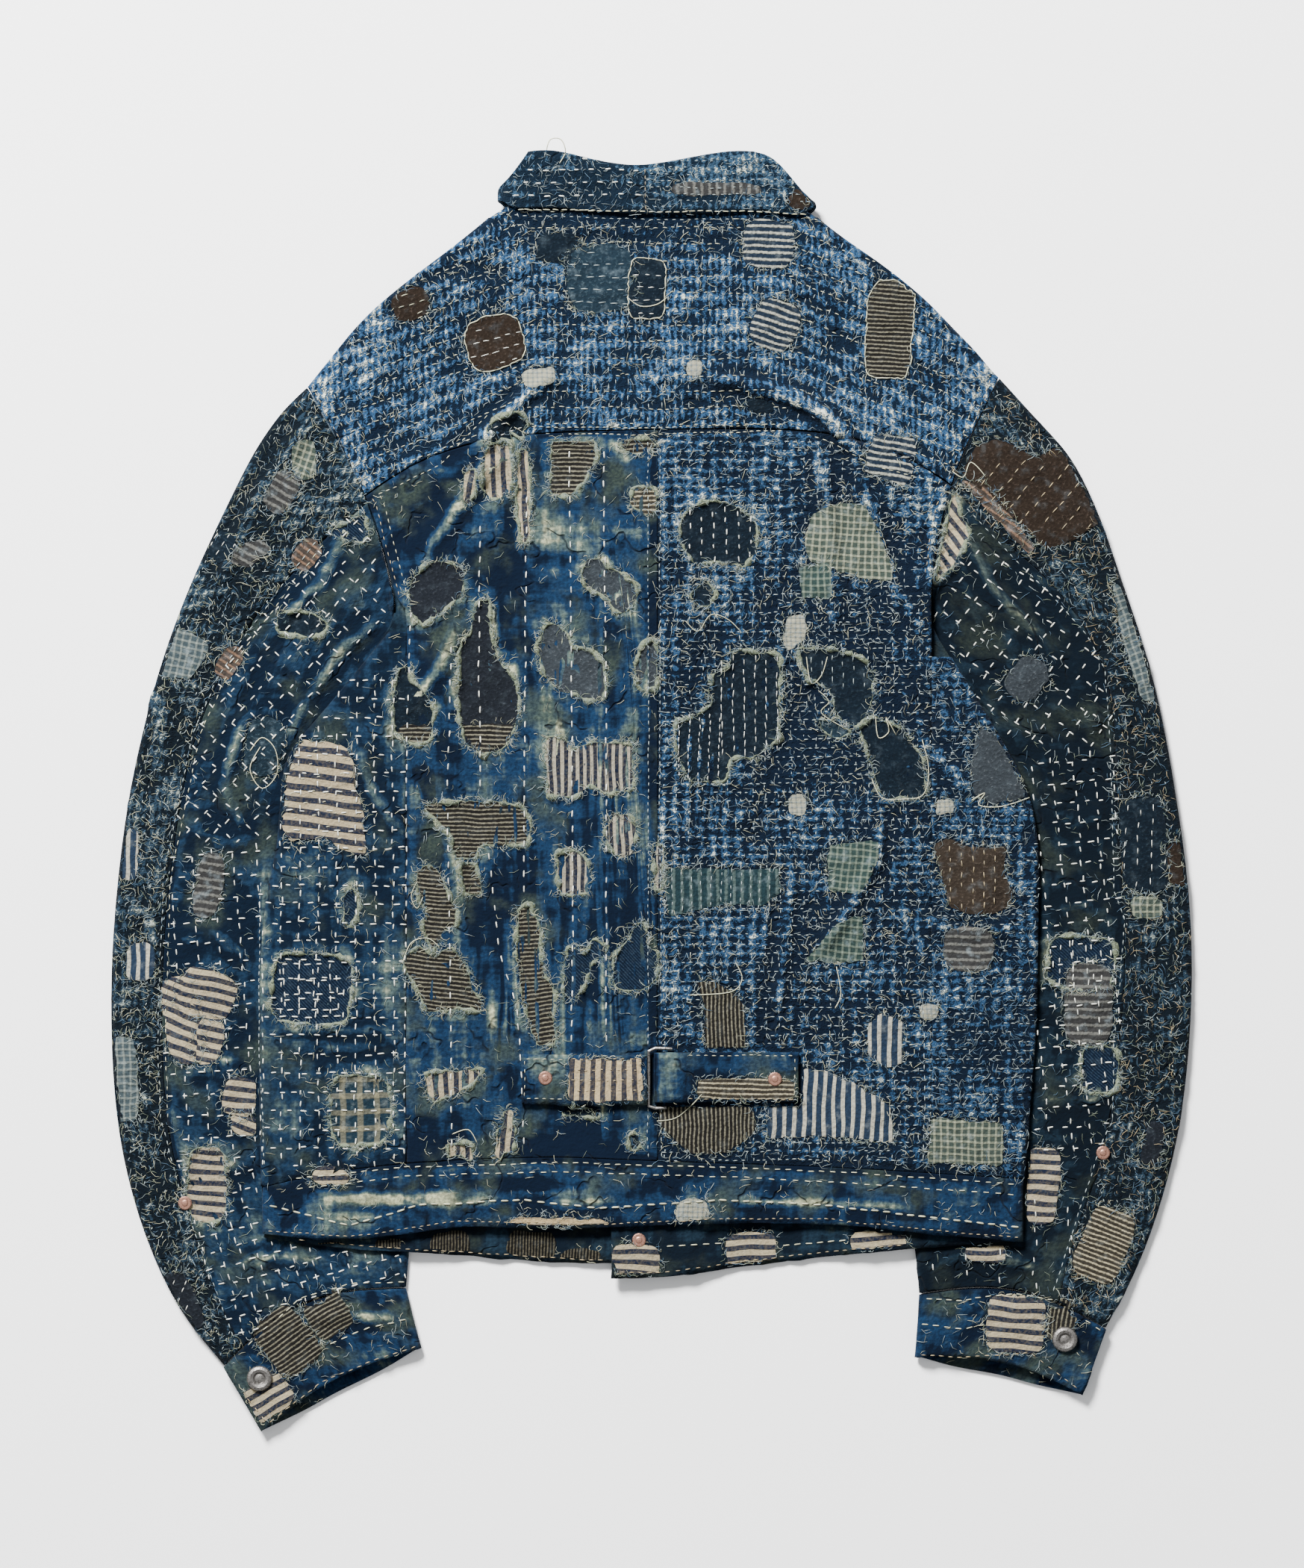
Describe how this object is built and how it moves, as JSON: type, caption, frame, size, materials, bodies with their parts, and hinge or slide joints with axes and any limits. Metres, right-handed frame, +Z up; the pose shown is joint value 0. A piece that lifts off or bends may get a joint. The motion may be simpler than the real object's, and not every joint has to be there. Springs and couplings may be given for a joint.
{
  "type": "patched boro jacket",
  "caption": "Cropped trucker-style jacket of patched and hand-stitched indigo cloth, laid face down with its back up.",
  "frame": {"origin": "centre of the bounding box's footprint, on the surface that the jacket lies on", "axes": "+X to the wearer's right, +Y from the hem to the collar, +Z up, away from the surface; the back faces +Z"},
  "size_m": [0.6909, 0.8165, 0.0199],
  "materials": {
    "fuzzy_blue": "worn light indigo cotton with dense pale running stitches, matt and fuzzy",
    "deep_indigo": "smooth indigo cotton, bleached in places, matt",
    "dark_indigo": "dark indigo cotton with a pale grid of stitches, matt",
    "button_metal": "aged, satin",
    "copper": "aged copper, satin"
  },
  "bodies": {
    "root": {"yoke": "fuzzy_blue", "back_left": "deep_indigo", "back_right": "fuzzy_blue", "back_side_left": "dark_indigo", "back_side_right": "deep_indigo", "front_left": "deep_indigo", "front_right": "deep_indigo", "waistband_back": "deep_indigo", "waistband_front_left": "dark_indigo", "waistband_front_right": "dark_indigo", "collar": "dark_indigo", "sleeve_left_outer": "fuzzy_blue", "sleeve_left_inner": "dark_indigo", "sleeve_right_outer": "fuzzy_blue", "sleeve_right_inner": "dark_indigo", "cuff_left": "deep_indigo", "cuff_right": "deep_indigo", "cinch_strap_left": "deep_indigo", "cinch_strap_right": "deep_indigo", "cinch_buckle": "button_metal", "cinch_rivet_left": "copper", "cinch_rivet_right": "copper", "sleeve_rivet_left": "copper", "sleeve_rivet_right": "copper", "cuff_button_left": "button_metal", "cuff_button_right": "button_metal", "waist_button_stud": "button_metal", "front_button_1": "button_metal", "front_button_2": "button_metal", "front_button_3": "button_metal", "front_button_4": "button_metal", "front_button_5": "button_metal", "waist_button": "button_metal"}
  },
  "joints": []
}
